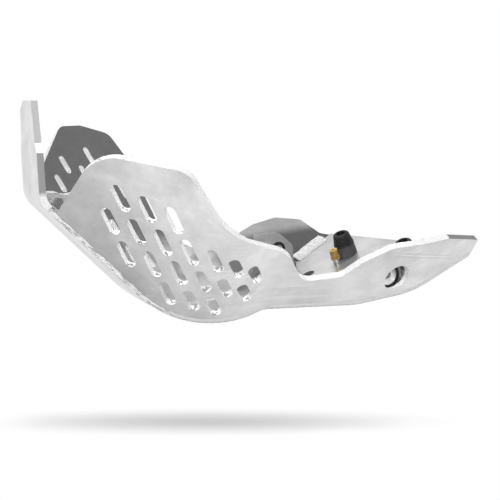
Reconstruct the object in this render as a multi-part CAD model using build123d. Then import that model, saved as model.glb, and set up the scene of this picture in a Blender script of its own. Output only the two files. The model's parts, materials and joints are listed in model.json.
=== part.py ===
from build123d import *
from math import atan2, cos, degrees, radians, sin, tan
import os

# Motorcycle skid plate, in millimetres. X runs to the rear of the motorcycle, -Y is its left
# side and Z is up. The underside of the belly lies at Z = 0 and the mid-plane is Y = 0. The
# finished pieces are moved along X, so that the origin lies in the middle of the belly's flat.

# Sheet and channel
sheet = 6.0                     # thickness of every welded aluminium plate
keel_half_width = 45.0          # half the width of the folded centre strip
flare = 45.0                    # lean of the side panels from square, in degrees

# Corners of the underside in side view (X, Z), from the upright to the tail
upright_top = (-151.3, 204.0)
upright_foot = (-147.0, 111.5)
belly_front = (-32.5, 0.0)
belly_rear = (31.0, 0.0)
rise_top = (57.0, 10.5)
tail_kick = (148.0, 10.5)
tail_turn = (206.0, 20.2)
tail_end = (264.0, 52.4)

# Outer bend radius at each inner corner of that line
foot_bend = 24.0
belly_front_bend = 105.0
belly_rear_bend = 95.0
rise_bend = 25.0
tail_bend = 100.0

# Upright, seen from the front
upright_step_z = 155.5          # where the full width ends
upright_neck_z = 164.0          # top of the sloping step
upright_neck_half_width = 38.0
upright_right_shoulder = (33.0, 192.5)  # width and height where its chamfer starts
upright_right_crown = (14.0, 200.5)
upright_left_crown = (-30.0, 200.5)

# Side panel outlines in side view: corners (X, Z, radius of the corner), front to rear
left_panel_corners = [
    (-137.8, 92.8, 0), (-110.3, 156.4, 24.5), (-40.5, 141.6, 26), (-3.0, 86.5, 68),
    (61.4, 67.0, 36), (83.8, 37.8, 19), (121.5, 41.5, 12), (136.0, 55.5, 20), (161.0, 68.2, 18),
    (225.5, 73.9, 2), (267.8, 69.3, 1), (264.6, 50.0, 0), (264.0, -30.0, 0), (-20.0, -30.0, 0)]
right_panel_corners = [
    (-141.5, 98.0, 0), (-126.0, 138.0, 0), (-103.0, 172.9, 9), (-79.6, 173.4, 14),
    (-47.5, 164.8, 18), (-31.5, 142.0, 30), (0.3, 61.9, 25), (39.0, 46.8, 34), (94.0, 71.2, 0),
    (120.3, 77.3, 4), (147.8, 74.8, 6), (163.5, 61.5, 8), (235.0, 50.6, 20), (264.6, 58.0, 2),
    (264.0, -30.0, 0), (-20.0, -30.0, 0)]
panel_overrun = 40.0            # how far a panel's end facets may run past the strip's ends

# Slots of the side panels: a lattice of leaning slots in side view, laid out on the flat sheet,
# so that its columns sag and close up a little where the panel is bent
left_slot_lean = 119.0          # degrees from rearward, in side view
left_slot_width = 10.0
left_slot_centres = 18.0        # between the centres of a slot's two round ends
left_slot_origin = (-91.4, 97.5)
left_slot_column = (21.1, -9.6)
left_slot_row = (5.1, 20.6)
left_slot_sag = 0.23
left_slot_closing = 0.07        # share of a row lost per column squared
left_slot_rows = {1: (0, 3), 0: (0, 7), -1: (1, 7), -2: (3, 6)}
right_slot_lean = 117.0
right_slot_width = 7.0
right_slot_centres = 12.4
right_slot_origin = (-110.6, 119.4)
right_slot_column = (20.6, -9.9)
right_slot_row = (7.7, 17.1)
right_slot_sag = 0.28
right_slot_closing = 0.0
right_slot_rows = {2: (1, 3), 1: (0, 4), 0: (0, 5), -1: (1, 6), -2: (3, 6)}
slot_turn = 0.2                 # share of the strip's turning by which a slot leans further

# Round access hole of the left panel, bored along Y for the wrench of the left bush bolt
access_radius = 12.0
access_centre = (179.7, 37.6)

# Weld beads
seam_width = 6.0                # leg of the outer seam on the panel
seam_bulge = 1.2                # height of its round face
inner_seam_leg = 4.0
carrier_seam_radius = 6.0
carrier_seam_ends = (130.0, 166.0)      # X of its two ends
search_rounds = 30              # rounds that settle a place on two surfaces

# Carrier plate: its top face passes through a point and rises rearward and to the right
carrier_point = (170.0, 32.0, 50.0)
carrier_rise_rear = 0.43
carrier_rise_right = 0.25
carrier_corners = [
    (133.0, 84.0), (110.0, 0.0), (120.0, -60.0), (131.0, -31.0), (195.5, -31.0), (195.5, -80.0),
    (262.0, -80.0), (250.0, -53.4), (212.4, 15.7), (190.5, 55.9), (160.0, 112.0)]
carrier_hole_radius = 4.5
carrier_hole_spot = (149.0, 4.0)
carrier_slots = [((127.0, 30.0), 16.0), ((186.0, 5.0), 14.0)]   # place in plan and length

# Rubber bumpers on the carrier: place in plan and sizes
right_bumper_spot = (170.0, 32.0)
left_bumper_spot = (205.4, -37.6)
bumper_foot_radius = 10.3
bumper_foot_height = 13.0
bumper_foot_draft = 0.3         # how much the foot narrows towards the step
bumper_step = 0.7
bumper_top_radius = 7.8
bumper_height = 23.5
bumper_round = 2.5
bumper_recess_radius = 4.6
bumper_recess_depth = 4.0
stud_radius = 3.0
stud_in_rubber = 9.0

# Flange bolt on the carrier
carrier_bolt_spot = (156.6, 24.5)
bolt_radius = 2.5
bolt_head_flats = 7.6
bolt_head_height = 7.0
bolt_flange_radius = 4.9
bolt_flange_height = 2.4
bolt_flange_taper = 10.0        # degrees
bolt_dimple_radius = 1.9
bolt_dimple_depth = 1.5
spacer_radius = 3.4
spacer_height = 5.5

# Nuts and washers
stud_nut_flats = 10.0
stud_nut_height = 5.0
stud_washer_radius = 6.0
small_nut_flats = 8.0
small_nut_height = 4.0
small_washer_radius = 5.0
washer_height = 1.2
thread_end = 2.0                # how far a stud or bolt shows past its nut

# Right mounting tab with its grommet and bush
right_tab_thickness = 5.0
right_tab_y = keel_half_width + 15.0
right_tab_foot = (28.0, 17.5)   # reach of its foot before and behind the grommet
right_tab_front_corner = (24.0, 14.3)   # before and above the grommet
right_tab_crown = 15.6          # above the grommet
right_tab_rear_corner = (15.5, 3.0)     # behind and above the grommet
right_tab_rounds = (2.0, 6.0, 10.0)     # radii of those three corners
right_grommet_centre = (106.8, 55.0)
right_grommet_radius = 6.4
right_grommet_neck = 4.9
right_bush_radius = 3.5
right_bush_bore = 2.2

# Left rear tab behind the access hole
left_tab_thickness = 5.0
left_tab_y = 4.0 - keel_half_width
left_tab_half_width = 16.0
left_tab_round = 15.5
left_grommet_centre = (178.5, 38.0)
left_grommet_radius = 13.0
left_grommet_neck = 10.5
left_bush_radius = 8.0
left_bush_flange = 9.8
left_bush_bore = 4.2

grommet_lip = 2.0               # rubber on each side of a tab
bush_lip = 0.8                  # metal flange on each side of the rubber
fit_gap = 0.1                   # clearance of each pin in its hole

# Front saddle bracket inside the bend
saddle_width = 28.0
saddle_arm_thickness = 6.0
saddle_arm_length = 46.0
saddle_drop = 3.0               # top of the arm below the centre of the bend
saddle_tube_radius = 19.0
saddle_tube_setback = 17.7      # tube centre before the end of the arm
saddle_hollow = 2.4             # depth of the round hollow in the arm
lug_width = 20.0
lug_bolt_edge = 8.0             # cross bolt to the rear edge of the lug
lug_bolt_drop = 12.5            # cross bolt below the centre of the bend
lug_bolt_radius = 3.0
lug_bolt_head_height = 5.0

beyond = tail_end[0] - upright_top[0]   # the plate's length, longer than anything that it cuts


def side_point(pair, y=0.0):
    """Point at side view place (X, Z) and width Y"""
    return Vector(pair[0], y, pair[1])


def underside_stretches():
    """Straight and bent stretches of the underside line, front to rear"""
    corners = [side_point(pair) for pair in (upright_top, upright_foot, belly_front, belly_rear,
                                             rise_top, tail_kick, tail_turn, tail_end)]
    bends = [foot_bend, belly_front_bend, belly_rear_bend, rise_bend, tail_bend, tail_bend]
    stretches = []
    here = corners[0]
    for before, corner, after, radius in zip(corners, corners[1:], corners[2:], bends):
        way_in = (corner - before).normalized()
        way_out = (after - corner).normalized()
        turn = atan2(way_in.X * way_out.Z - way_in.Z * way_out.X, way_in.dot(way_out))
        setback = radius * tan(abs(turn) / 2)
        inward = Vector(-way_in.Z, 0, way_in.X)
        hand = 1 if turn > 0 else -1
        bend_start = corner - way_in * setback
        stretches.append({"start": here, "way": way_in, "inward": inward, "turn": 0.0,
                          "length": (bend_start - here).length})
        stretches.append({"start": bend_start, "way": way_in, "inward": inward, "turn": turn,
                          "hand": hand, "radius": radius,
                          "centre": bend_start + inward * (radius * hand)})
        here = corner + way_out * setback
    last = (corners[-1] - here).normalized()
    stretches.append({"start": here, "way": last, "inward": Vector(-last.Z, 0, last.X),
                      "turn": 0.0, "length": (corners[-1] - here).length})
    return stretches


stretches = underside_stretches()
foot = stretches[1]             # bend between the upright and the slanted front
slant = 2                       # number of the slanted straight stretch
rise = 6                        # number of the short rise behind the belly


def bend_axis(stretch):
    """Axis across the plate about which a stretch is bent"""
    return Axis(stretch["centre"], (0, -stretch["hand"], 0))


def swept(section, chosen):
    """Solid with one cross-section (width, height) along the chosen stretches"""
    pieces = []
    for stretch in chosen:
        plane = Plane(stretch["start"], x_dir=(0, 1, 0), z_dir=stretch["way"])
        face = plane * section
        if stretch["turn"]:
            pieces.append(revolve(face, bend_axis(stretch), abs(degrees(stretch["turn"]))))
        else:
            pieces.append(extrude(face, amount=stretch["length"], dir=stretch["way"]))
    return pieces[0].fuse(*pieces[1:]) if len(pieces) > 1 else pieces[0]


def section(*points):
    """Closed cross-section through the given points (width, height)"""
    return make_face(Polyline(*points, close=True))


lean_out = sin(radians(flare))
lean_up = cos(radians(flare))
bevel = sheet * lean_up / lean_out      # how much narrower the centre strip is on its inside


def panel_line():
    """Stretches that a side panel follows, the first and the last run on past the strip"""
    line = [dict(stretch) for stretch in stretches[slant:]]
    line[0]["start"] -= line[0]["way"] * panel_overrun
    line[0]["length"] += panel_overrun
    line[-1]["length"] += panel_overrun
    return line


def panel_point(stretch, side, reach):
    """Point on a side panel's outer face at a stretch's start, some reach up the sheet"""
    out = keel_half_width + reach * lean_out
    return stretch["start"] + stretch["inward"] * (reach * lean_up) + Vector(0, side * out, 0)


def outer_face(stretch, side, reach):
    """Outer face of a side panel over one stretch"""
    if stretch["turn"]:
        rib = Edge.make_line(panel_point(stretch, side, 0), panel_point(stretch, side, reach))
        return Face.revolve(rib, abs(degrees(stretch["turn"])), bend_axis(stretch))
    run = stretch["way"] * stretch["length"]
    low = panel_point(stretch, side, 0)
    high = panel_point(stretch, side, reach)
    return Face(Wire.make_polygon([low, low + run, high + run, high]))


def side_view_prism(outline):
    """Solid of a closed side view outline, right across the plate"""
    return extrude(Plane.XZ * make_face(outline), amount=beyond, both=True)


def foot_of(pair):
    """Stretch below a side view place, with its direction, inward normal and height there"""
    place = side_point(pair)
    found = None
    for stretch in panel_line():
        if stretch["turn"]:
            arm = place - stretch["centre"]
            down = Vector(arm.X, 0, arm.Z).normalized() * stretch["hand"]
            inward = down * -1
            way = Vector(inward.Z, 0, -inward.X)
            turned = atan2(stretch["way"].X * way.Z - stretch["way"].Z * way.X,
                           stretch["way"].dot(way))
            inside = 0 <= turned * stretch["hand"] <= abs(stretch["turn"])
            height = stretch["hand"] * (stretch["radius"] - arm.length)
        else:
            arm = place - stretch["start"]
            way, inward = stretch["way"], stretch["inward"]
            inside = 0 <= arm.dot(way) <= stretch["length"]
            height = arm.dot(inward)
        if inside and 0 <= height and (found is None or height < found[2]):
            found = (way, inward, height)
    return found


def panel_plane(pair, side, lean):
    """Plane on a side panel's outer face at a side view place, X along a lean in side view"""
    way, inward, height = foot_of(pair)
    place = side_point(pair, side * (keel_half_width + height * lean_out / lean_up))
    outward = inward * -lean_out + Vector(0, side * lean_up, 0)
    along = Vector(cos(radians(lean)), 0, sin(radians(lean)))
    climb = along.dot(inward)
    along = way * along.dot(way) + inward * climb + Vector(0, side * climb * lean_out / lean_up, 0)
    return Plane(place, x_dir=along, z_dir=outward)


def slot_planes(side, lean, origin, column, row, rows, sag, closing):
    """Planes of a lattice of slots on a side panel"""
    planes = []
    for number, (first, last) in rows.items():
        for step in range(first, last):
            rise_back = step ** 2 * (sag - number * closing)
            place = (origin[0] + step * column[0] + number * row[0],
                     origin[1] + step * column[1] + number * row[1] + rise_back)
            way = foot_of(place)[0]
            first_way = stretches[slant]["way"]
            turned = degrees(atan2(way.Z, way.X) - atan2(first_way.Z, first_way.X))
            planes.append(panel_plane(place, side, lean + slot_turn * turned))
    return planes


def side_panel(side, outline, openings):
    """Flared side panel with its edge and its openings cut square to the sheet"""
    blank = side_view_prism(outline)
    pieces = []
    for number, stretch in enumerate(panel_line()):
        reach = (beyond if number == 0 else belly_rear_bend - sheet) / lean_up
        trimmed = outer_face(stretch, side, reach) & blank
        inward = stretch["inward"] * lean_out - Vector(0, side * lean_up, 0)
        for face in trimmed.faces():
            pieces.append(thicken(face, amount=sheet, normal_override=inward))
    panel = pieces[0].fuse(*pieces[1:])
    return panel.cut(*[extrude(opening, amount=2 * sheet, both=True) for opening in openings])


def left_side_panel():
    """Near panel with its lattice of slots and the access hole bored along Y"""
    planes = slot_planes(-1, left_slot_lean, left_slot_origin, left_slot_column, left_slot_row,
                         left_slot_rows, left_slot_sag, left_slot_closing)
    slot = SlotCenterToCenter(left_slot_centres, left_slot_width)
    panel = side_panel(-1, rounded_outline(left_panel_corners), [plane * slot for plane in planes])
    return panel - extrude(across_plane(access_centre, 0) * Circle(access_radius), amount=-beyond)


def right_side_panel():
    """Far panel, taller at the front and with a hump at the rear, with smaller slots"""
    planes = slot_planes(1, right_slot_lean, right_slot_origin, right_slot_column, right_slot_row,
                         right_slot_rows, right_slot_sag, right_slot_closing)
    slot = SlotCenterToCenter(right_slot_centres, right_slot_width)
    return side_panel(1, rounded_outline(right_panel_corners), [plane * slot for plane in planes])


def rounded_outline(corners):
    """Closed side view outline through corners (X, Z, radius of the corner)"""
    points = [(x, z) for x, z, radius in corners]
    return FilletPolyline(*points, radius=[radius for x, z, radius in corners], close=True)


def base_plate():
    """Centre strip, folded from one sheet, with its crowned upright"""
    square = section((-keel_half_width, 0), (keel_half_width, 0),
                     (keel_half_width, sheet), (-keel_half_width, sheet))
    inside_half = keel_half_width - bevel
    bevelled = section((-keel_half_width, 0), (keel_half_width, 0),
                       (inside_half, sheet), (-inside_half, sheet))
    front = swept(square, stretches[:slant])
    rear = swept(bevelled, stretches[slant:])
    side_view = [(keel_half_width, -beyond), (keel_half_width, upright_step_z),
                 (upright_neck_half_width, upright_neck_z)]
    crown = [upright_right_shoulder, upright_right_crown, upright_left_crown]
    front_view = side_view + crown + [(-y, z) for y, z in reversed(side_view)]
    blank = extrude(Plane.YZ * section(*front_view), amount=beyond, both=True)
    return (front & blank) + rear


def channel_space():
    """Space inside the channel, above the centre strip and between the side panels"""
    inside_half = keel_half_width - bevel
    wall_half = keel_half_width + (sheet - sheet * lean_out) * lean_out / lean_up - sheet * lean_up
    top = belly_rear_bend - sheet
    top_half = wall_half + (top - sheet) * lean_out / lean_up
    return swept(section((-wall_half, sheet), (wall_half, sheet), (top_half, top),
                         (-top_half, top)), stretches[rise:])


def carrier_height(x, y):
    """Height of the carrier's top face at a place in plan"""
    return (carrier_point[2] + carrier_rise_rear * (x - carrier_point[0])
            + carrier_rise_right * (y - carrier_point[1]))


carrier_up = Vector(-carrier_rise_rear, -carrier_rise_right, 1).normalized()


def carrier_plane(spot):
    """Plane on the carrier's top face at a place in plan"""
    return Plane((spot[0], spot[1], carrier_height(*spot)),
                 x_dir=(1, 0, carrier_rise_rear), z_dir=carrier_up)


def carrier_slab(low, high):
    """Flat layer of the carrier between two depths along its normal"""
    plane = carrier_plane(carrier_point[:2])
    return extrude(plane.offset(low) * Rectangle(2 * beyond, 2 * beyond), amount=high - low)


def plan_prism(points):
    """Solid of a closed outline seen from above"""
    return extrude(Plane.XY * section(*points), amount=beyond)


def rear_carrier(space):
    """Inclined plate between the side panels, with its bolt holes and open slots"""
    plate = carrier_slab(-sheet, 0) & space & plan_prism(carrier_corners)
    cuts = [carrier_plane(carrier_bolt_spot) * Circle(bolt_radius + fit_gap),
            carrier_plane(carrier_hole_spot) * Circle(carrier_hole_radius)]
    for spot in (right_bumper_spot, left_bumper_spot):
        cuts.append(carrier_plane(spot) * Circle(stud_radius + fit_gap))
    for spot, length in carrier_slots:
        cuts.append(carrier_plane(spot) * SlotOverall(length, 2 * carrier_hole_radius))
    return plate.cut(*[extrude(cut, amount=2 * sheet, both=True) for cut in cuts])


def carrier_seam(space):
    """Round weld bead where the carrier meets the right panel"""
    ends = []
    for x in carrier_seam_ends:
        z = carrier_height(x, 0)
        for search_round in range(search_rounds):
            way, inward, height = foot_of((x, z))
            y = keel_half_width + height * lean_out / lean_up - sheet / lean_up
            z = carrier_height(x, y)
        ends.append(Vector(x, y, z))
    line = ends[1] - ends[0]
    rod = extrude(Plane(ends[0], z_dir=line) * Circle(carrier_seam_radius), amount=line.length)
    return rod & space & carrier_slab(0, beyond)


def outer_seam(side):
    """Convex weld bead along the outer corner of centre strip and side panel"""
    start = Vector(side * keel_half_width, 0)
    way = Vector(side * lean_out, lean_up)
    end = start + way * seam_width
    middle = start + way * (seam_width / 2) + Vector(side * lean_up, -lean_out) * seam_bulge
    bead = make_face(Curve() + [ThreePointArc(start, middle, end), Line(end, start)])
    return swept(bead, stretches[slant:])


def inner_seam(side):
    """Flat weld bead in the groove between centre strip and side panel"""
    inside = keel_half_width - bevel
    root = (side * (keel_half_width - sheet * lean_up), sheet * lean_out)
    upper = (root[0] + side * inner_seam_leg * lean_out, root[1] + inner_seam_leg * lean_up)
    bead = section((side * inside, sheet), root, upper)
    return swept(bead, stretches[slant:rise + 1])


def ring(plane, outer, inner, low, high):
    """Plain ring about a plane's normal, between two heights"""
    return extrude(plane.offset(low) * (Circle(outer) - Circle(inner)), amount=high - low)


def hex_nut(plane, flats, bore, low, high):
    """Hexagon nut with a plain bore"""
    shape = RegularPolygon(flats / 2, 6, major_radius=False) - Circle(bore)
    return extrude(plane.offset(low) * shape, amount=high - low)


def rubber_bumper(plane):
    """Stepped rubber cone with a round edge, a recess on top and a socket for its stud"""
    shoulder = bumper_foot_radius - bumper_step
    outline = Polyline((0, 0), (bumper_foot_radius, 0),
                       (bumper_foot_radius - bumper_foot_draft, bumper_foot_height),
                       (shoulder, bumper_foot_height + bumper_step),
                       (bumper_top_radius, bumper_height), (0, bumper_height), close=True)
    profile = make_face(outline)
    rim = profile.vertices().sort_by(Axis.Y)[-2:].sort_by(Axis.X)[-1]
    profile = fillet(rim, bumper_round)
    profile -= Pos(0, bumper_height) * Rectangle(2 * bumper_recess_radius, 2 * bumper_recess_depth)
    profile -= Rectangle(2 * (stud_radius + fit_gap), 2 * stud_in_rubber)
    turned = revolve(Plane.XZ * profile, Axis.Z, 360)
    return plane.location * turned


def bumper_stud(plane):
    """Threaded stud moulded into a bumper and passed through the carrier"""
    low = -sheet - washer_height - stud_nut_height - thread_end
    return extrude(plane.offset(low) * Circle(stud_radius), amount=stud_in_rubber - low)


def flange_bolt(plane):
    """Hexagon flange bolt with a round dimple in its head, standing on a spacer"""
    low = -sheet - washer_height - small_nut_height - thread_end
    flange_top = spacer_height + bolt_flange_height
    head_top = flange_top + bolt_head_height
    bolt = extrude(plane.offset(low) * Circle(bolt_radius), amount=spacer_height - low)
    bolt += extrude(plane.offset(spacer_height) * Circle(bolt_flange_radius),
                    amount=bolt_flange_height, taper=bolt_flange_taper)
    bolt += extrude(plane.offset(flange_top) * RegularPolygon(bolt_head_flats / 2, 6,
                    major_radius=False), amount=bolt_head_height)
    bolt -= extrude(plane.offset(head_top - bolt_dimple_depth) * Circle(bolt_dimple_radius),
                    amount=bolt_dimple_depth)
    return bolt


def across_plane(centre, y):
    """Plane with its normal along Y, at a side view place"""
    return Plane(side_point(centre, y), x_dir=(1, 0, 0), z_dir=(0, 1, 0))


def tab_plate(outline, y, thickness, centre, hole):
    """Upright tab across the plate, with a round hole for its grommet"""
    plate = extrude(Plane.XZ.offset(-y - thickness / 2) * make_face(outline), amount=thickness)
    return plate - extrude(across_plane(centre, y) * Circle(hole), amount=thickness, both=True)


def grommet(centre, y, thickness, lip_radius, neck_radius, bore):
    """Rubber grommet with a lip on each side of its tab"""
    plane = across_plane(centre, y)
    half = thickness / 2
    rubber = ring(plane, neck_radius - fit_gap, bore, -half, half)
    for low in (-half - grommet_lip, half):
        rubber += ring(plane, lip_radius, bore, low, low + grommet_lip)
    return rubber


def bush(centre, y, thickness, radius, bore, flange):
    """Metal bush through a grommet, with a flange at each end"""
    plane = across_plane(centre, y)
    half = thickness / 2 + grommet_lip
    metal = ring(plane, radius, bore, -half - bush_lip, half + bush_lip)
    if flange > radius:
        for low in (-half - bush_lip, half):
            metal += ring(plane, flange, bore, low, low + bush_lip)
    return metal


def saddle_bracket(base):
    """Arm with a round hollow for the frame tube and a lug for the cross bolt"""
    centre = foot["centre"]
    mid_radius = foot_bend - sheet / 2
    top = centre.Z - saddle_drop
    under = top - saddle_arm_thickness
    front = centre.X - mid_radius
    slope = (stretches[slant]["way"]).Z / (stretches[slant]["way"]).X
    low_point = stretches[slant]["start"] + stretches[slant]["inward"] * (sheet / 2)
    lug_rear = low_point.X + lug_width
    arm_end = front + saddle_arm_length
    outline = Polyline((front, top), (low_point.X, low_point.Z),
                       (lug_rear, low_point.Z + slope * lug_width), (lug_rear, under),
                       (arm_end, under), (arm_end, top), close=True)
    bracket = extrude(Plane.XZ * make_face(outline), amount=saddle_width / 2, both=True)
    tube_centre = (arm_end - saddle_tube_setback, top + saddle_tube_radius - saddle_hollow)
    bracket -= extrude(across_plane(tube_centre, 0) * Circle(saddle_tube_radius),
                       amount=saddle_width, both=True)
    bracket -= extrude(lug_bolt_plane() * Circle(lug_bolt_radius + fit_gap), amount=saddle_width,
                       both=True)
    return bracket - base


def lug_bolt_plane():
    """Plane at the middle of the cross bolt, normal along Y"""
    low_point = stretches[slant]["start"] + stretches[slant]["inward"] * (sheet / 2)
    return across_plane((low_point.X + lug_width - lug_bolt_edge, foot["centre"].Z - lug_bolt_drop), 0)


def lug_bolt():
    """Hexagon cross bolt of the saddle lug, head on the left side"""
    plane = lug_bolt_plane()
    half = saddle_width / 2
    end = half + washer_height + stud_nut_height + thread_end
    bolt = extrude(plane.offset(-half) * Circle(lug_bolt_radius), amount=half + end)
    head = RegularPolygon(stud_nut_flats / 2, 6, major_radius=False)
    return bolt + extrude(plane.offset(-half - lug_bolt_head_height) * head,
                          amount=lug_bolt_head_height)


def build_parts():
    """Every piece of the skid plate by its name"""
    space = channel_space()
    base = base_plate()
    right_bumper = carrier_plane(right_bumper_spot)
    left_bumper = carrier_plane(left_bumper_spot)
    small = carrier_plane(carrier_bolt_spot)
    lug = lug_bolt_plane()
    half = saddle_width / 2
    washer_low = -sheet - washer_height
    parts = {
        "base_plate": base,
        "left_side_panel": left_side_panel(),
        "right_side_panel": right_side_panel(),
        "left_outer_weld_seam": outer_seam(-1),
        "right_outer_weld_seam": outer_seam(1),
        "left_inner_weld_seam": inner_seam(-1),
        "right_inner_weld_seam": inner_seam(1),
        "rear_carrier_plate": rear_carrier(space),
        "carrier_weld_seam": carrier_seam(space),
        "right_rubber_bumper": rubber_bumper(right_bumper),
        "left_rubber_bumper": rubber_bumper(left_bumper),
        "right_bumper_stud": bumper_stud(right_bumper),
        "left_bumper_stud": bumper_stud(left_bumper),
        "carrier_flange_bolt": flange_bolt(small),
        "carrier_bolt_spacer": ring(small, spacer_radius, bolt_radius + fit_gap, 0, spacer_height),
        "carrier_bolt_washer": ring(small, small_washer_radius, bolt_radius + fit_gap,
                                    washer_low, -sheet),
        "carrier_bolt_nut": hex_nut(small, small_nut_flats, bolt_radius + fit_gap,
                                    washer_low - small_nut_height, washer_low),
        "saddle_bracket": saddle_bracket(base),
        "saddle_bolt": lug_bolt(),
        "saddle_bolt_washer": ring(lug, stud_washer_radius, lug_bolt_radius + fit_gap,
                                   half, half + washer_height),
        "saddle_bolt_nut": hex_nut(lug, stud_nut_flats, lug_bolt_radius + fit_gap,
                                   half + washer_height, half + washer_height + stud_nut_height),
    }
    washers = []
    nuts = []
    for plane in (right_bumper, left_bumper):
        washers.append(ring(plane, stud_washer_radius, stud_radius + fit_gap, washer_low, -sheet))
        nuts.append(hex_nut(plane, stud_nut_flats, stud_radius + fit_gap,
                            washer_low - stud_nut_height, washer_low))
    parts["bumper_washers"] = Compound(children=washers)
    parts["bumper_nuts"] = Compound(children=nuts)

    x, z = right_grommet_centre
    before, above = right_tab_front_corner
    behind, drop = right_tab_rear_corner
    front_round, crown_round, rear_round = right_tab_rounds
    right_tab = rounded_outline([(x - right_tab_foot[0], 0, 0),
                                 (x - before, z + above, front_round),
                                 (x, z + right_tab_crown, crown_round),
                                 (x + behind, z + drop, rear_round),
                                 (x + right_tab_foot[1], 0, 0)])
    parts["right_mounting_tab"] = tab_plate(right_tab, right_tab_y, right_tab_thickness,
                                            right_grommet_centre, right_grommet_neck) & space
    parts["right_tab_grommet"] = grommet(right_grommet_centre, right_tab_y, right_tab_thickness,
                                         right_grommet_radius, right_grommet_neck,
                                         right_bush_radius + fit_gap)
    parts["right_tab_bush"] = bush(right_grommet_centre, right_tab_y, right_tab_thickness,
                                   right_bush_radius, right_bush_bore, 0)

    x, z = left_grommet_centre
    left_tab = rounded_outline([(x - left_tab_half_width, 0, 0),
                                (x - left_tab_half_width, z + left_tab_half_width,
                                 left_tab_round),
                                (x + left_tab_half_width, z + left_tab_half_width,
                                 left_tab_round),
                                (x + left_tab_half_width, 0, 0)])
    parts["left_mounting_tab"] = tab_plate(left_tab, left_tab_y, left_tab_thickness,
                                           left_grommet_centre, left_grommet_neck) & space
    parts["left_tab_grommet"] = grommet(left_grommet_centre, left_tab_y, left_tab_thickness,
                                        left_grommet_radius, left_grommet_neck,
                                        left_bush_radius + fit_gap)
    parts["left_tab_bush"] = bush(left_grommet_centre, left_tab_y, left_tab_thickness,
                                  left_bush_radius, left_bush_bore, left_bush_flange)
    return parts


belly = stretches[slant + 2]     # flat stretch at the bottom
belly_middle = belly["start"].X + belly["length"] / 2

os.makedirs("parts", exist_ok=True)
for name, shape in build_parts().items():
    export_step(Pos(-belly_middle, 0, 0) * shape, f"parts/{name}.step")
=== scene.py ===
import json
import math

import bpy
import numpy as np
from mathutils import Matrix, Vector


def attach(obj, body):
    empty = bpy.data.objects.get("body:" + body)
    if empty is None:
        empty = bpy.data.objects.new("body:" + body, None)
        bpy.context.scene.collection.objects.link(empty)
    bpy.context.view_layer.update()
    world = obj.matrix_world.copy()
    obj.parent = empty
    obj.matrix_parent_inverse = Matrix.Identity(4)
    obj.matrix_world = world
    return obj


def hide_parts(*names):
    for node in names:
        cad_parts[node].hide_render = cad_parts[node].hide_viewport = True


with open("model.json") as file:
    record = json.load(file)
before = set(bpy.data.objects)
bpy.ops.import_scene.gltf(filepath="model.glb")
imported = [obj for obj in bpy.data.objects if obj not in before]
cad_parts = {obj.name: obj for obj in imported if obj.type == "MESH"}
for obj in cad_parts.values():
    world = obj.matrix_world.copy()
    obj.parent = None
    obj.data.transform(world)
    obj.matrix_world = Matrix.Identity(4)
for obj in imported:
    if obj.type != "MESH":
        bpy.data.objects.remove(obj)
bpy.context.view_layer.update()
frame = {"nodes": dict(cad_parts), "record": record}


def unit(vector):
    return vector / np.linalg.norm(vector)


def grey(tone, blue=0.0):
    """A grey as red, green and blue, with a touch more blue where it is cool."""
    return tone, tone, tone + blue


# ---- sizes of the plate that the finishes and the beads follow, in millimetres

mm = 0.001
origin_shift = 11.359864         # from the strip's side view origin back to the frame's origin, along X
strip_corners = np.array([(-151.3, 204.0), (-147.0, 111.5), (-32.5, 0.0), (31.0, 0.0), (57.0, 10.5),
                          (148.0, 10.5), (206.0, 20.2), (264.0, 52.4)])
strip_bends = (24.0, 105.0, 95.0, 25.0, 100.0, 100.0)
half_width, sheet = 45.0, 6.0
groove = np.array([4.586, 1.071])                       # across an inner seam: sideways and upward
carrier_normal = unit(np.array([-0.43, -0.25, 1.0]))    # the carrier rises to the rear and to the right
carrier_corner = np.array([(129.0, 67.3, 41.2), (163.5, 82.4, 59.8)])       # where it meets the right panel


# ---- camera: long lens, turned towards the front of the plate and looking slightly down

camera_spot = Vector((-0.3518, -1.2278, 0.1962))
camera_turn, camera_rise = math.radians(18), math.radians(6)
camera_sensor, camera_lens = 36, 99


def add_camera():
    """The view direction is worked out from the turn and the rise. The camera looks along it with no roll."""
    data = bpy.data.cameras.new("camera")
    data.sensor_width, data.lens = camera_sensor, camera_lens
    data.clip_start, data.clip_end = 0.05, 60
    camera = bpy.data.objects.new("camera", data)
    bpy.context.scene.collection.objects.link(camera)
    away = Vector((math.sin(camera_turn) * math.cos(camera_rise),
                   math.cos(camera_turn) * math.cos(camera_rise), -math.sin(camera_rise)))
    camera.location = camera_spot
    camera.rotation_mode = "QUATERNION"
    camera.rotation_quaternion = away.to_track_quat("-Z", "Y")
    bpy.context.scene.camera = camera


# ---- finishes

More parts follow.
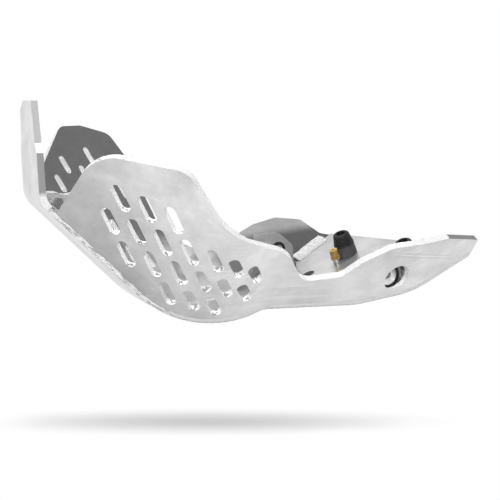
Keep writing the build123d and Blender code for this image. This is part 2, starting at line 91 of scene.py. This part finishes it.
class Finish:
    """A material and short ways to add its nodes."""

    def __init__(self, name):
        self.material = bpy.data.materials.new(name)
        self.material.use_nodes = True
        self.tree = self.material.node_tree
        self.tree.nodes.clear()
        self.out = self.add("ShaderNodeOutputMaterial")

    def add(self, kind, **settings):
        node = self.tree.nodes.new(kind)
        for key, value in settings.items():
            setattr(node, key, value)
        return node

    def link(self, source, socket):
        self.tree.links.new(source, socket)

    def feed(self, socket, value):
        """Links another node's output, or sets a plain number or colour."""
        if hasattr(value, "is_linked"):
            self.link(value, socket)
        else:
            socket.default_value = value

    def sums(self, operation, *values):
        node = self.add("ShaderNodeMath", operation=operation)
        for socket, value in zip(node.inputs, values):
            self.feed(socket, value)
        return node.outputs[0]

    def product(self, first, *others):
        for value in others:
            first = self.sums("MULTIPLY", first, value)
        return first

    def above(self, value, limit):
        return self.sums("GREATER_THAN", value, limit)

    def below(self, value, limit):
        return self.sums("LESS_THAN", value, limit)

    def place(self):
        return self.add("ShaderNodeTexCoord").outputs["Object"]

    def lean_and_spot(self):
        """The surface's own direction and its place, each split into X, Y and Z."""
        texture = self.add("ShaderNodeTexCoord")
        split = []
        for kind in ("Normal", "Object"):
            node = self.add("ShaderNodeSeparateXYZ")
            self.link(texture.outputs[kind], node.inputs[0])
            split.append(node.outputs)
        return split

    def mapped(self, kind="POINT", location=(0, 0, 0), rotation=(0, 0, 0), scale=(1, 1, 1)):
        """The place, moved, turned and stretched."""
        node = self.add("ShaderNodeMapping", vector_type=kind)
        self.link(self.place(), node.inputs["Vector"])
        node.inputs["Location"].default_value = location
        node.inputs["Rotation"].default_value = rotation
        node.inputs["Scale"].default_value = scale
        return node.outputs[0]

    def noise(self, scale, detail=3.0, roughness=0.5, where=None, distortion=0.0):
        node = self.add("ShaderNodeTexNoise")
        self.link(where or self.place(), node.inputs["Vector"])
        node.inputs["Scale"].default_value = scale
        node.inputs["Detail"].default_value = detail
        node.inputs["Roughness"].default_value = roughness
        node.inputs["Distortion"].default_value = distortion
        return node.outputs["Fac"]

    def span(self, value, low, high, to_low, to_high, smooth=False):
        """Carries the range from low to high over to another range, and holds it at both ends."""
        node = self.add("ShaderNodeMapRange", interpolation_type="SMOOTHSTEP" if smooth else "LINEAR")
        self.link(value, node.inputs["Value"])
        for key, number in (("From Min", low), ("From Max", high), ("To Min", to_low), ("To Max", to_high)):
            node.inputs[key].default_value = number
        return node.outputs[0]

    def tones(self, value, *stops):
        """Colour ramp through stops of a position and a colour."""
        node = self.add("ShaderNodeValToRGB")
        self.link(value, node.inputs["Fac"])
        ramp = node.color_ramp
        for _ in range(len(stops) - 2):
            ramp.elements.new(0.5)
        for element, (spot, colour) in zip(ramp.elements, stops):
            element.position = spot
            element.color = (*colour, 1)
        return node.outputs["Color"]

    def blend(self, share, first, second):
        """Colour that goes from the first to the second with the share."""
        node = self.add("ShaderNodeMix", data_type="RGBA")
        self.feed(node.inputs["Factor"], share)
        for socket, value in ((node.inputs[6], first), (node.inputs[7], second)):
            self.feed(socket, value if hasattr(value, "is_linked") else (*value, 1))
        return node.outputs[2]

    def bump(self, height, strength, distance, under=None):
        node = self.add("ShaderNodeBump")
        self.link(height, node.inputs["Height"])
        node.inputs["Strength"].default_value = strength
        node.inputs["Distance"].default_value = distance
        if under is not None:
            self.link(under, node.inputs["Normal"])
        return node.outputs[0]

    def surface(self, **values):
        node = self.add("ShaderNodeBsdfPrincipled")
        for key, value in values.items():
            self.feed(node.inputs[key.replace("_", " ")], value)
        self.link(node.outputs[0], self.out.inputs["Surface"])


def panel_cut_edges(f):
    """1 on the cut edges of a flared panel, which take a painted highlight, 0 on its two faces. The product
    of a face's own sideways and upward lean is at least 0.36 on the sheet and at most 0.13 on an edge that is
    cut square to it. The tail's tip lies in shade, so it gets only a little of the painted highlight."""
    edge_product, face_product = 0.2, 0.3
    tip_start, tip_end, tip_share = 0.2135, 0.2145, 0.15
    lean, spot = f.lean_and_spot()
    product = f.product(lean["Y"], lean["Z"], f.sums("SIGN", spot["Y"]), -1.0)
    square_cut = f.span(product, edge_product, face_product, 1.0, 0.0)
    return f.product(square_cut, f.span(spot["X"], tip_start, tip_end, 1.0, tip_share))


def strip_cut_edges(f):
    """1 on the cut edges of the folded strip: its sides, the crown of the upright and the end of the tail."""
    upright_height, tail_place = 0.15, 0.24
    side_lean, crown_lean, tail_lean = 0.3, 0.5, 0.6
    lean, spot = f.lean_and_spot()
    side = f.above(f.sums("ABSOLUTE", lean["Y"]), side_lean)
    crown = f.product(f.above(spot["Z"], upright_height), f.above(lean["Z"], crown_lean))
    tail = f.product(f.above(spot["X"], tail_place), f.above(lean["X"], tail_lean))
    return f.sums("MAXIMUM", side, f.sums("MAXIMUM", crown, tail))


def no_cut_edges(f):
    """Small plates are tumbled all round, so only a faint light rim is left to the noise."""
    return f.span(f.noise(40, 2, 0.5), 0.6, 0.8, 0.0, 0.25)


def near_panel_painted_shade(f, spot):
    """Painted shade on the near panel: the share of its tone that it keeps, less towards its front end, and a
    little more on its front half than on its rear half."""
    front_end, front_tone = (-0.150, -0.035), 0.60
    front_lean, front_height = 0.8, 0.1
    middle, front_half, rear_half = (0.02, 0.08), 1.1, 0.98
    slope = f.product(f.sums("SUBTRACT", spot["Z"], front_height), front_lean)
    return f.product(f.span(f.sums("ADD", spot["X"], slope), *front_end, front_tone, 1.0, smooth=True),
                     f.span(spot["X"], *middle, front_half, rear_half, smooth=True))


def painted_tail_crease(f, spot, near, face):
    """A faint crease along the near panel's tail, painted as light and shade: a grey stripe of painted shade
    with a fine line of painted highlight in its middle.
    """
    crease_fall, crease_height = 0.111, 0.0792
    crease_start, crease_end = (0.15, 0.165), (0.215, 0.24)
    shade_rim, shade_share = (0.0018, 0.0026), 0.16
    highlight_rim, highlight_share = (0.0003, 0.0009), 0.45
    line = f.sums("ADD", spot["Z"], f.product(spot["X"], crease_fall))
    offset = f.sums("ABSOLUTE", f.sums("SUBTRACT", line, crease_height))
    reach = f.product(near, f.span(spot["X"], *crease_start, 0.0, 1.0),
                      f.span(spot["X"], *crease_end, 1.0, 0.0))
    painted_shade_stripe = f.product(f.span(offset, *shade_rim, 1.0, 0.0), reach, shade_share)
    # light: the fine line of painted highlight in the middle of the crease
    light = f.product(f.span(offset, *highlight_rim, 1.0, 0.0), reach, highlight_share)
    return f.blend(light, f.blend(painted_shade_stripe, face, grey(0.3)), grey(0.95))


def slot_facets(f, lean, spot, near):
    """Dark speckled marks on the bottoms of the near panel's slots, which face upwards. The field of the
    slots is behind the panel's front end and below a line that falls to the rear."""
    field_front, line_fall, line_height = -0.118, 0.62, 0.08
    mark_rim, bottom_lean, mark_share = (0.535, 0.56), (0.42, 0.56), 0.8
    line = f.sums("ADD", spot["Z"], f.product(spot["X"], line_fall))
    field = f.product(f.above(spot["X"], field_front), f.below(line, line_height), near)
    marks = f.span(f.noise(330, 1, 0.4), *mark_rim, 0.0, 1.0)
    return f.product(marks, field, f.span(lean["Z"], *bottom_lean, 0.0, mark_share))


def far_panel_satin(f, spot):
    """Share of its shine that the far panel loses: in a band along the top of its hump, and in blotches low
    down in front of the hump."""
    hump_start, band_rise, band_rim, band_share = (0.045, 0.075), 0.12, (0.050, 0.060), 0.42
    blotch_rear, blotch_top, faint, strong = (0.05, 0.08), (0.048, 0.075), 0.1, 0.6
    height = f.sums("SUBTRACT", spot["Z"], f.product(spot["X"], band_rise))
    band = f.product(f.span(height, *band_rim, 0.0, band_share, smooth=True),
                     f.span(spot["X"], *hump_start, 0.0, 1.0, smooth=True))
    blotches = f.span(f.noise(30, 3, 0.5), 0.42, 0.55, faint, strong)
    low = f.product(f.span(spot["Z"], *blotch_top, 1.0, 0.0, smooth=True), blotches,
                    f.span(spot["X"], *blotch_rear, 1.0, 0.0, smooth=True))
    return f.sums("MAXIMUM", band, low)


def panel_tones(f, face, cut):
    """The near panel has painted shade, a crease painted as shade and highlight, and marks in its slots. The
    far panel has satin patches.
    """
    lean, spot = f.lean_and_spot()
    near = f.below(spot["Y"], 0.0)
    far = f.sums("SUBTRACT", 1.0, near)
    # The near panel's face colour is scaled by its painted shade, then takes the crease's painted shade and
    # highlight.
    shaded = f.add("ShaderNodeVectorMath", operation="SCALE")
    f.link(face, shaded.inputs[0])
    f.link(f.sums("ADD", f.product(near, near_panel_painted_shade(f, spot)), far), shaded.inputs["Scale"])
    face = painted_tail_crease(f, spot, near, shaded.outputs[0])
    cut = f.blend(slot_facets(f, lean, spot, near), cut, grey(0.16, 0.002))
    return face, cut, f.product(far, far_panel_satin(f, spot))


def strip_painted_shade(f, face, cut):
    """Painted shade on the upright's cut edges: the straight sides are painted greyer than its sloping edges,
    most of all below the step, with a painted highlight low down at the foot bend, and its crown is painted
    dark as shade."""
    foot_height, neck_height, crown_height = 0.104, 0.164, 0.19
    straight_lean, level_lean = 0.95, 0.9
    lean, spot = f.lean_and_spot()
    straight = f.above(f.sums("ABSOLUTE", lean["Y"]), straight_lean)
    # side: painted shade down the straight cut edges, with a painted highlight at the foot bend
    side = f.tones(f.span(spot["Z"], foot_height, neck_height, 0.0, 1.0), (0.22, grey(0.95)),
                   (0.3, grey(0.36, 0.002)), (0.86, grey(0.38, 0.002)), (1.0, grey(0.64, 0.002)))
    # crown: painted shade on the crown, which faces up
    crown = f.product(f.above(lean["Z"], level_lean), f.above(spot["Z"], crown_height))
    return face, f.blend(crown, f.blend(straight, cut, side), grey(0.12, 0.002)), 0.0


def plain_tones(f, face, cut):
    """The small plates keep one tone, with a very slow drift in polish."""
    return face, cut, f.span(f.noise(9, 2, 0.5), 0.3, 0.7, 0.12, 0.22)


def saddle_tones(f, face, cut):
    """The saddle is blasted, so it scatters more light than the tumbled plates."""
    return face, cut, f.span(f.noise(60, 2, 0.5), 0.3, 0.7, 0.5, 0.62)


def sheet_aluminium(name, cut_edges, tones, dark, light):
    """Tumbled sheet: cloudy patches in tone and gloss, faint lengthwise brushing, a few long scratches and a
    fine grain. Its cut edges are smoother and less metallic, and painted brighter as a painted highlight."""
    cloud_share, patch_share, brush_share, scratch_share = 0.66, 0.25, 0.09, 0.35
    edge_metal, edge_calm = 0.15, 0.9
    face_rough, edge_rough = (0.47, 0.33), (0.3, 0.2)
    f = Finish(name)
    cloud = f.noise(13, 5, 0.6, distortion=0.5)
    patch = f.noise(70, 4, 0.6)
    brush = f.noise(300, 3, 0.55, where=f.mapped(scale=(0.1, 1, 1)))
    grain = f.noise(2200, 2, 0.6)
    marks = f.noise(170, 2, 0.5, where=f.mapped(scale=(0.05, 1, 0.8)))
    scratch = f.span(marks, 0.66, 0.7, 0.0, 1.0)
    edge = cut_edges(f)
    tone = f.sums("ADD", f.product(cloud, cloud_share),
                  f.sums("ADD", f.product(patch, patch_share), f.product(brush, brush_share)))
    middle = tuple((low + high) / 2 for low, high in zip(dark, light))
    face = f.tones(tone, (0.36, dark), (0.5, middle), (0.62, light))
    face = f.blend(f.product(scratch, scratch_share), face, grey(0.9))
    # Near-white cut-edge colour: a painted highlight along the cut edges.
    cut = f.tones(cloud, (0.3, grey(0.95, 0.002)), (0.6, grey(0.99)))
    # The tones add any painted shade and highlight of each part to the face and cut-edge colours.
    face, cut, satin = tones(f, face, cut)
    shine = f.sums("SUBTRACT", f.span(edge, 0.0, 1.0, 1.0, edge_metal), satin)
    rough = f.add("ShaderNodeMix", data_type="FLOAT")
    f.link(edge, rough.inputs["Factor"])
    f.link(f.span(f.sums("ADD", tone, f.product(grain, 0.2)), 0.45, 0.75, *face_rough), rough.inputs[2])
    f.link(f.span(patch, 0.3, 0.7, *edge_rough), rough.inputs[3])
    relief = f.sums("SUBTRACT", 1.0, f.product(edge, edge_calm))
    swell = f.bump(f.product(cloud, relief), 0.25, 0.004)
    skin = f.bump(f.product(f.sums("ADD", grain, brush), relief), 0.1, 0.0003, swell)
    f.surface(Base_Color=f.blend(edge, face, cut), Metallic=shine, Roughness=rough.outputs[0], Normal=skin)
    return f.material


def weld_aluminium():
    """Bead metal as laid: satin white with small grey oxide patches and a fine pitted skin. Grey streaks of
    painted shade, for the shade of the ripples, run along the bead on the slanted front. The outer beads have
    painted
    shade: greyer under the belly and the rear, and dark where they face the ground."""
    front_slant, streak_length, streak_rim, streak_share = math.radians(38), 6.0, (0.5, 0.58), 0.75
    front_end, belly_start, belly_share = (-0.05, -0.03), (-0.06, -0.03), 0.6
    outward, downward, ground_share = (-0.2, 0.0), (-0.92, -0.8), 0.85
    f = Finish("weld_aluminium")
    lean, spot = f.lean_and_spot()
    mottle = f.noise(260, 4, 0.6)
    pits = f.noise(1900, 3, 0.6)
    colour = f.tones(mottle, (0.34, grey(0.8, 0.003)), (0.5, grey(0.9)), (0.66, grey(0.96)))
    # Painted shade of the ripples: grey streaks along the slanted front.
    along_front = f.mapped("TEXTURE", rotation=(0.0, front_slant, 0.0), scale=(streak_length, 1.0, 1.0))
    painted_ripple_shade = f.product(f.span(f.noise(620, 2, 0.5, where=along_front), *streak_rim, 0.0, streak_share),
                        f.span(spot["X"], *front_end, 1.0, 0.0))
    colour = f.blend(painted_ripple_shade, colour, grey(0.36, 0.002))
    # Painted shade: greyer on faces that lean down, under the belly and the rear.
    painted_belly_shade = f.product(f.span(lean["Z"], *outward, 1.0, 0.0),
                      f.span(spot["X"], *belly_start, 0.0, belly_share))
    colour = f.blend(painted_belly_shade, colour, grey(0.62, 0.002))
    # Painted shade: dark where the bead faces the ground.
    painted_ground_shade = f.span(lean["Z"], *downward, ground_share, 0.0)
    colour = f.blend(painted_ground_shade, colour, grey(0.16, 0.002))
    f.surface(Base_Color=colour, Metallic=0.4, Roughness=f.span(mottle, 0.3, 0.7, 0.5, 0.32),
              Normal=f.bump(pits, 0.1, 0.0003, f.bump(mottle, 0.12, 0.0005)))
    return f.material


def moulded_rubber(name, low, high, painted_sheen_foot=False):
    """Matt moulded rubber with a fine grain and a faint bloom. With a painted sheen foot, the foot is painted
    grey up to the bumper's step as a painted sheen; the step is a height above the inclined carrier plane."""
    foot_level, step, uneven = -0.0235, (0.0118, 0.0150), 0.004
    f = Finish(name)
    bloom = f.noise(160, 3, 0.6)
    grain = f.noise(5200, 2, 0.6)
    colour = f.tones(bloom, (0.35, low), (0.7, high))
    if painted_sheen_foot:
        # Painted sheen: the foot is painted lighter grey up to the step.
        rise = f.add("ShaderNodeVectorMath", operation="DOT_PRODUCT")
        f.link(f.place(), rise.inputs[0])
        rise.inputs[1].default_value = tuple(carrier_normal)
        height = f.sums("SUBTRACT", rise.outputs["Value"], foot_level)
        height = f.sums("ADD", height, f.product(bloom, uneven))
        colour = f.blend(f.span(height, *step, 1.0, 0.0), colour, grey(0.13, 0.002))
    f.surface(Base_Color=colour, Roughness=f.span(bloom, 0.3, 0.7, 0.62, 0.48),
              Normal=f.bump(grain, 0.3, 0.0002))
    return f.material


def plated_steel(name, low, high, rough, metal):
    """Plating over turned steel: small changes in tone and a fine grain in the gloss."""
    smoother, rougher = 0.06, 0.08
    f = Finish(name)
    drift = f.noise(240, 3, 0.6)
    fine = f.noise(3800, 2, 0.5)
    f.surface(Base_Color=f.tones(drift, (0.3, low), (0.7, high)), Metallic=metal,
              Roughness=f.span(fine, 0.3, 0.7, rough - smoother, rough + rougher),
              Normal=f.bump(fine, 0.1, 0.0002))
    return f.material


def dress_frame():
    """Each node of the frame takes the finish of its slot in the record. The panels, the strip, the saddle
    and the bumpers, with a painted sheen on their feet, have their own instead. Gives the weld finish back."""
    panels = sheet_aluminium("panel_aluminium", panel_cut_edges, panel_tones, grey(0.6, 0.002), grey(0.8))
    strip = sheet_aluminium("strip_aluminium", strip_cut_edges, strip_painted_shade, grey(0.7, 0.003), grey(0.88))
    saddle = sheet_aluminium("saddle_aluminium", no_cut_edges, saddle_tones, grey(0.86, 0.003), grey(0.97))
    # The bumpers' feet carry a painted sheen.
    bumper = moulded_rubber("bumper_rubber", grey(0.022, 0.001), grey(0.038, 0.001), painted_sheen_foot=True)
    by_slot = {
        "raw_aluminium": sheet_aluminium("small_plate_aluminium", no_cut_edges, plain_tones,
                                         grey(0.62, 0.003), grey(0.78)),
        "weld_aluminium": weld_aluminium(),
        "black_rubber": moulded_rubber("black_rubber", grey(0.016, 0.001), grey(0.032, 0.001)),
        "yellow_zinc": plated_steel("yellow_zinc", (0.62, 0.37, 0.1), (0.88, 0.62, 0.26), 0.26, 0.55),
        "zinc_steel": plated_steel("zinc_steel", grey(0.6, 0.01), grey(0.82), 0.28, 0.9),
    }
    by_node = {"saddle_bracket": saddle, "left_side_panel": panels, "right_side_panel": panels,
               "base_plate": strip, "left_rubber_bumper": bumper, "right_rubber_bumper": bumper}
    for part in frame["record"]["subparts"]:
        for place in frame["nodes"][part["node"]].material_slots:
            place.material = by_node.get(part["node"], by_slot[part["material_slot"]])
    return by_slot["weld_aluminium"]


# ---- weld beads, in millimetres

outer_shape = {"width": 6.0, "height": 1.1, "pitch": 6.4, "sink": 0.5, "slant": 1.5, "bow": 0.2}
inner_shape = {"width": 4.7, "height": 0.8, "pitch": 3.0, "sink": 0.6}
carrier_shape = {"height": 1.7, "pitch": 2.6, "sink": 1.5, "around": 23}
carrier_reach = 7.2              # from the corner down the carrier and up the panel
carrier_step = 0.3
first_run = 1                    # the seams start below the bend at the foot of the upright
inner_last_run = 4               # the inner seams end under the carrier


def strip_line(last=None, step=0.4):
    """Underside line of the folded strip from the end of its first bend: straight runs joined by arcs. Gives
    places and unit normals into the cradle, as rows of (x, z), about one step apart."""
    runs = np.diff(strip_corners, axis=0)
    ways = runs / np.linalg.norm(runs, axis=1)[:, None]
    inward = np.stack([-ways[:, 1], ways[:, 0]], axis=1)
    turns = np.array([math.atan2(a[0] * b[1] - a[1] * b[0], a @ b) for a, b in zip(ways, ways[1:])])
    setback = np.array(strip_bends) * np.tan(np.abs(turns) / 2)
    starts = np.vstack([strip_corners[:1], strip_corners[1:-1] + ways[1:] * setback[:, None]])
    ends = np.vstack([strip_corners[1:-1] - ways[:-1] * setback[:, None], strip_corners[-1:]])
    last = last or len(ways)
    places, normals = [], []
    for i in range(first_run, last):
        run = ends[i] - starts[i]
        share = np.linspace(0, 1, max(2, int(np.linalg.norm(run) / step)), endpoint=False)[:, None]
        places.append(starts[i] + run * share)
        normals.append(np.repeat(inward[i][None], len(share), axis=0))
        if i < last - 1:
            radius = strip_bends[i] * np.sign(turns[i])
            count = max(3, int(strip_bends[i] * abs(turns[i]) / step))
            angle = np.linspace(0, turns[i], count, endpoint=False)
            arm_x, arm_z = inward[i]
            turned = np.stack([arm_x * np.cos(angle) - arm_z * np.sin(angle),
                               arm_x * np.sin(angle) + arm_z * np.cos(angle)], axis=1)
            places.append(ends[i] + inward[i] * radius - turned * radius)
            normals.append(turned)
    places.append(ends[last - 1][None])
    normals.append(inward[last - 1][None])
    return np.vstack(places), np.vstack(normals)


def along_strip(places, normals, outward, upward):
    """Turns a strip section's place, outward along Y and upward along the normal, into points in space."""
    return np.stack([places[:, 0] + normals[:, 0] * upward, np.full(len(places), outward),
                     places[:, 1] + normals[:, 1] * upward], axis=1)


def tube_faces(rows, columns, flipped):
    """Faces round a tube of points in rows, with a cap at each end."""
    i, j = np.meshgrid(np.arange(rows - 1), np.arange(columns), indexing="ij")
    k = (j + 1) % columns
    here, ahead = i * columns, (i + 1) * columns
    quads = np.stack([here + j, ahead + j, ahead + k, here + k], axis=-1)
    ring = np.arange(columns)
    faces = quads.reshape(-1, 4).tolist() + [ring.tolist(), ((rows - 1) * columns + ring[::-1]).tolist()]
    return [face[::-1] for face in faces] if flipped else faces


def bead(name, node, finish, spine, across, out, seed,
         width, height, pitch, sink, around=15, slant=0.0, bow=0.55):
    """Weld bead. Across the bead the height is a low arch, sine of the share of the width to a power. Along
    it each puddle is a scallop: the height falls back from the front of a puddle to the next, and the front
    runs across at a slant and bows forward in the middle of the bead. Slow sines make the width, the pitch
    and the height wander. A sunk flat underside and two end caps close the piece."""
    wander_lengths, pitch_wander = (2.3, 5.1, 9.7), 0.35
    scallop_power, arch_power = 1.6, 0.75
    base_share, puddle_share, wander_share = 0.5, 0.38, 0.12
    narrowest, width_wander = 0.95, 0.05
    underside = np.array([[0.8, 0.2]])
    rng = np.random.default_rng(seed)
    along = np.concatenate([[0], np.cumsum(np.linalg.norm(np.diff(spine, axis=0), axis=1))])[:, None]
    share = np.linspace(0, 1, around)[None]
    wander = sum(np.sin(along / length + rng.uniform(0, 6.28)) for length in wander_lengths) / 3
    phase = along / pitch + pitch_wander * wander - slant * share - bow * (1 - (2 * share - 1) ** 2)
    puddle = 1 - (phase % 1.0) ** scallop_power
    arch = np.sin(np.pi * share) ** arch_power
    rise = height * arch * (base_share + puddle_share * puddle + wander_share * wander)
    spread = width * (narrowest + width_wander * wander)
    top = spine[:, None] + across[:, None] * (spread * share)[..., None] + out[:, None] * rise[..., None]
    low = spine[:, None] + across[:, None] * (spread * underside)[..., None] - out[:, None] * sink
    grid = np.concatenate([top, low], axis=1)
    points = (grid.reshape(-1, 3) - np.array([origin_shift, 0, 0])) * mm
    inside_out = np.cross(across[0], spine[1] - spine[0]) @ out[0] >= 0
    mesh = bpy.data.meshes.new(name)
    mesh.from_pydata(points.tolist(), [], tube_faces(*grid.shape[:2], inside_out))
    mesh.polygons.foreach_set("use_smooth", np.ones(len(mesh.polygons), dtype=bool))
    mesh.materials.append(finish)
    mesh.update()
    piece = bpy.data.objects.new(name, mesh)
    bpy.context.scene.collection.objects.link(piece)
    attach(piece, "root")
    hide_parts(node)


def seam_beads(finish):
    """The beads along both lower corners of the strip, outside and inside."""
    lean = math.sqrt(0.5)
    sideways, upward = unit(groove)
    for side, word in ((-1, "left"), (1, "right")):
        places, normals = strip_line()
        flat = np.zeros_like(places)
        bead(f"{word}_outer_bead", f"{word}_outer_weld_seam", finish,
             along_strip(places, normals, side * half_width, 0),
             along_strip(flat, normals, side * lean, lean),
             along_strip(flat, normals, side * lean, -lean), 3 + side, **outer_shape)
        places, normals = strip_line(inner_last_run)
        flat = np.zeros_like(places)
        bead(f"{word}_inner_bead", f"{word}_inner_weld_seam", finish,
             along_strip(places, normals, side * (half_width - sheet), sheet),
             along_strip(flat, normals, side * sideways, upward),
             along_strip(flat, normals, -side * upward, sideways), 13 + side, **inner_shape)


def carrier_bead(finish):
    """Wide bead in the corner of carrier plate and right panel, between the two ends of that corner."""
    start, end = carrier_corner
    count = int(np.linalg.norm(end - start) / carrier_step)
    corner = start + (end - start) * np.linspace(0, 1, count)[:, None]
    way = unit(end - start)
    panel_in = unit(np.array([0, -1.0, 1.0]))
    down_plate = np.cross(carrier_normal, way)
    up_panel = np.cross(way, panel_in)
    down_plate *= -np.sign(down_plate[1])
    up_panel *= np.sign(up_panel[2])
    chord = (up_panel - down_plate) * carrier_reach
    ones = np.ones((count, 1))
    bead("carrier_bead", "carrier_weld_seam", finish, corner + down_plate * carrier_reach,
         ones * unit(chord), ones * unit(up_panel + down_plate), 29,
         width=np.linalg.norm(chord), **carrier_shape)


# ---- stage

floor_height = -0.101
shadow_strip = (1.0, 0.25, 1.0)  # the shadow is kept in a strip, four times longer than wide
shadow_reach = 0.26              # from the strip's middle to where the floor is plain white


def floor_paper():
    """White paper. It keeps the object's shadow in a long strip beneath it, and fades to plain white, to the
    camera and in the metal, with the distance from the middle of that strip."""
    paper_glow = 0.2
    f = Finish("floor_paper")
    tooth = f.noise(300, 2, 0.5)
    path = f.add("ShaderNodeLightPath")
    seen = f.sums("MAXIMUM", path.outputs["Is Camera Ray"],
                  f.sums("MAXIMUM", path.outputs["Is Glossy Ray"], path.outputs["Is Transmission Ray"]))
    reach = f.add("ShaderNodeVectorMath", operation="LENGTH")
    f.link(f.mapped("TEXTURE", (0.0, 0.0, floor_height), (0.0, 0.0, -camera_turn), shadow_strip),
           reach.inputs[0])
    away = f.span(reach.outputs["Value"], 0.0, shadow_reach, 0.0, 1.0, smooth=True)
    diffuse = f.add("ShaderNodeBsdfDiffuse")
    f.link(f.tones(tooth, (0.3, grey(0.79)), (0.7, grey(0.8))), diffuse.inputs["Color"])
    glow = f.add("ShaderNodeEmission")
    f.link(f.product(seen, paper_glow), glow.inputs["Strength"])
    paper = f.add("ShaderNodeAddShader")
    f.link(diffuse.outputs[0], paper.inputs[0])
    f.link(glow.outputs[0], paper.inputs[1])
    white = f.add("ShaderNodeEmission")
    mix = f.add("ShaderNodeMixShader")
    f.link(f.product(away, seen), mix.inputs[0])
    f.link(paper.outputs[0], mix.inputs[1])
    f.link(white.outputs[0], mix.inputs[2])
    f.link(mix.outputs[0], f.out.inputs["Surface"])
    return f.material


def add_floor(half=12.0):
    mesh = bpy.data.meshes.new("floor")
    corners = [(-half, -half, floor_height), (half, -half, floor_height),
               (half, half, floor_height), (-half, half, floor_height)]
    mesh.from_pydata(corners, [], [(0, 1, 2, 3)])
    floor = bpy.data.objects.new("floor", mesh)
    bpy.context.scene.collection.objects.link(floor)
    mesh.materials.append(floor_paper())


def add_lamp(name, spot, target, width, depth, watts, in_gloss=True):
    """Soft rectangular lamp that looks at the target. Out of the gloss, it isn't mirrored by the metal."""
    data = bpy.data.lights.new(name, "AREA")
    data.shape, data.size, data.size_y = "RECTANGLE", width, depth
    data.energy = watts
    lamp = bpy.data.objects.new(name, data)
    bpy.context.scene.collection.objects.link(lamp)
    lamp.location = spot
    lamp.rotation_mode = "QUATERNION"
    lamp.rotation_quaternion = (Vector(target) - Vector(spot)).to_track_quat("-Z", "Y")
    lamp.visible_glossy = in_gloss


def set_world():
    """White to the camera. The metal sees it white round the horizon and dim overhead."""
    height_tones = ((0.0, 1.0), (0.14, 0.95), (0.34, 0.3), (0.55, 0.17), (1.0, 0.13))
    world = bpy.data.worlds.new("studio")
    bpy.context.scene.world = world
    world.use_nodes = True
    tree = world.node_tree
    tree.nodes.clear()
    out = tree.nodes.new("ShaderNodeOutputWorld")
    ground = tree.nodes.new("ShaderNodeBackground")
    place = tree.nodes.new("ShaderNodeTexCoord")
    parts = tree.nodes.new("ShaderNodeSeparateXYZ")
    ramp = tree.nodes.new("ShaderNodeValToRGB")
    path = tree.nodes.new("ShaderNodeLightPath")
    mix = tree.nodes.new("ShaderNodeMix")
    mix.data_type = "RGBA"
    tree.links.new(place.outputs["Generated"], parts.inputs[0])
    tree.links.new(parts.outputs["Z"], ramp.inputs["Fac"])
    for _ in range(len(height_tones) - 2):
        ramp.color_ramp.elements.new(0.5)
    for element, (height, tone) in zip(ramp.color_ramp.elements, height_tones):
        element.position, element.color = height, (*grey(tone), 1)
    tree.links.new(path.outputs["Is Camera Ray"], mix.inputs["Factor"])
    tree.links.new(ramp.outputs["Color"], mix.inputs[6])
    mix.inputs[7].default_value = (1, 1, 1, 1)
    tree.links.new(mix.outputs[2], ground.inputs["Color"])
    tree.links.new(ground.outputs[0], out.inputs["Surface"])


def main():
    bpy.context.scene.view_settings.view_transform = "Standard"
    add_camera()
    set_world()
    add_floor()
    add_lamp("back_lamp", (0.15, 1.5, 1.75), (0, 0, 0.05), 1.9, 1.5, 7)
    add_lamp("front_lamp", (-0.9, -1.7, 0.9), (0, 0, 0.05), 0.8, 0.8, 12)
    add_lamp("overhead_lamp", (0.0, 0.0, 1.5), (0, 0, 0), 0.4, 0.4, 20, in_gloss=False)
    weld_finish = dress_frame()
    seam_beads(weld_finish)
    carrier_bead(weld_finish)


main()
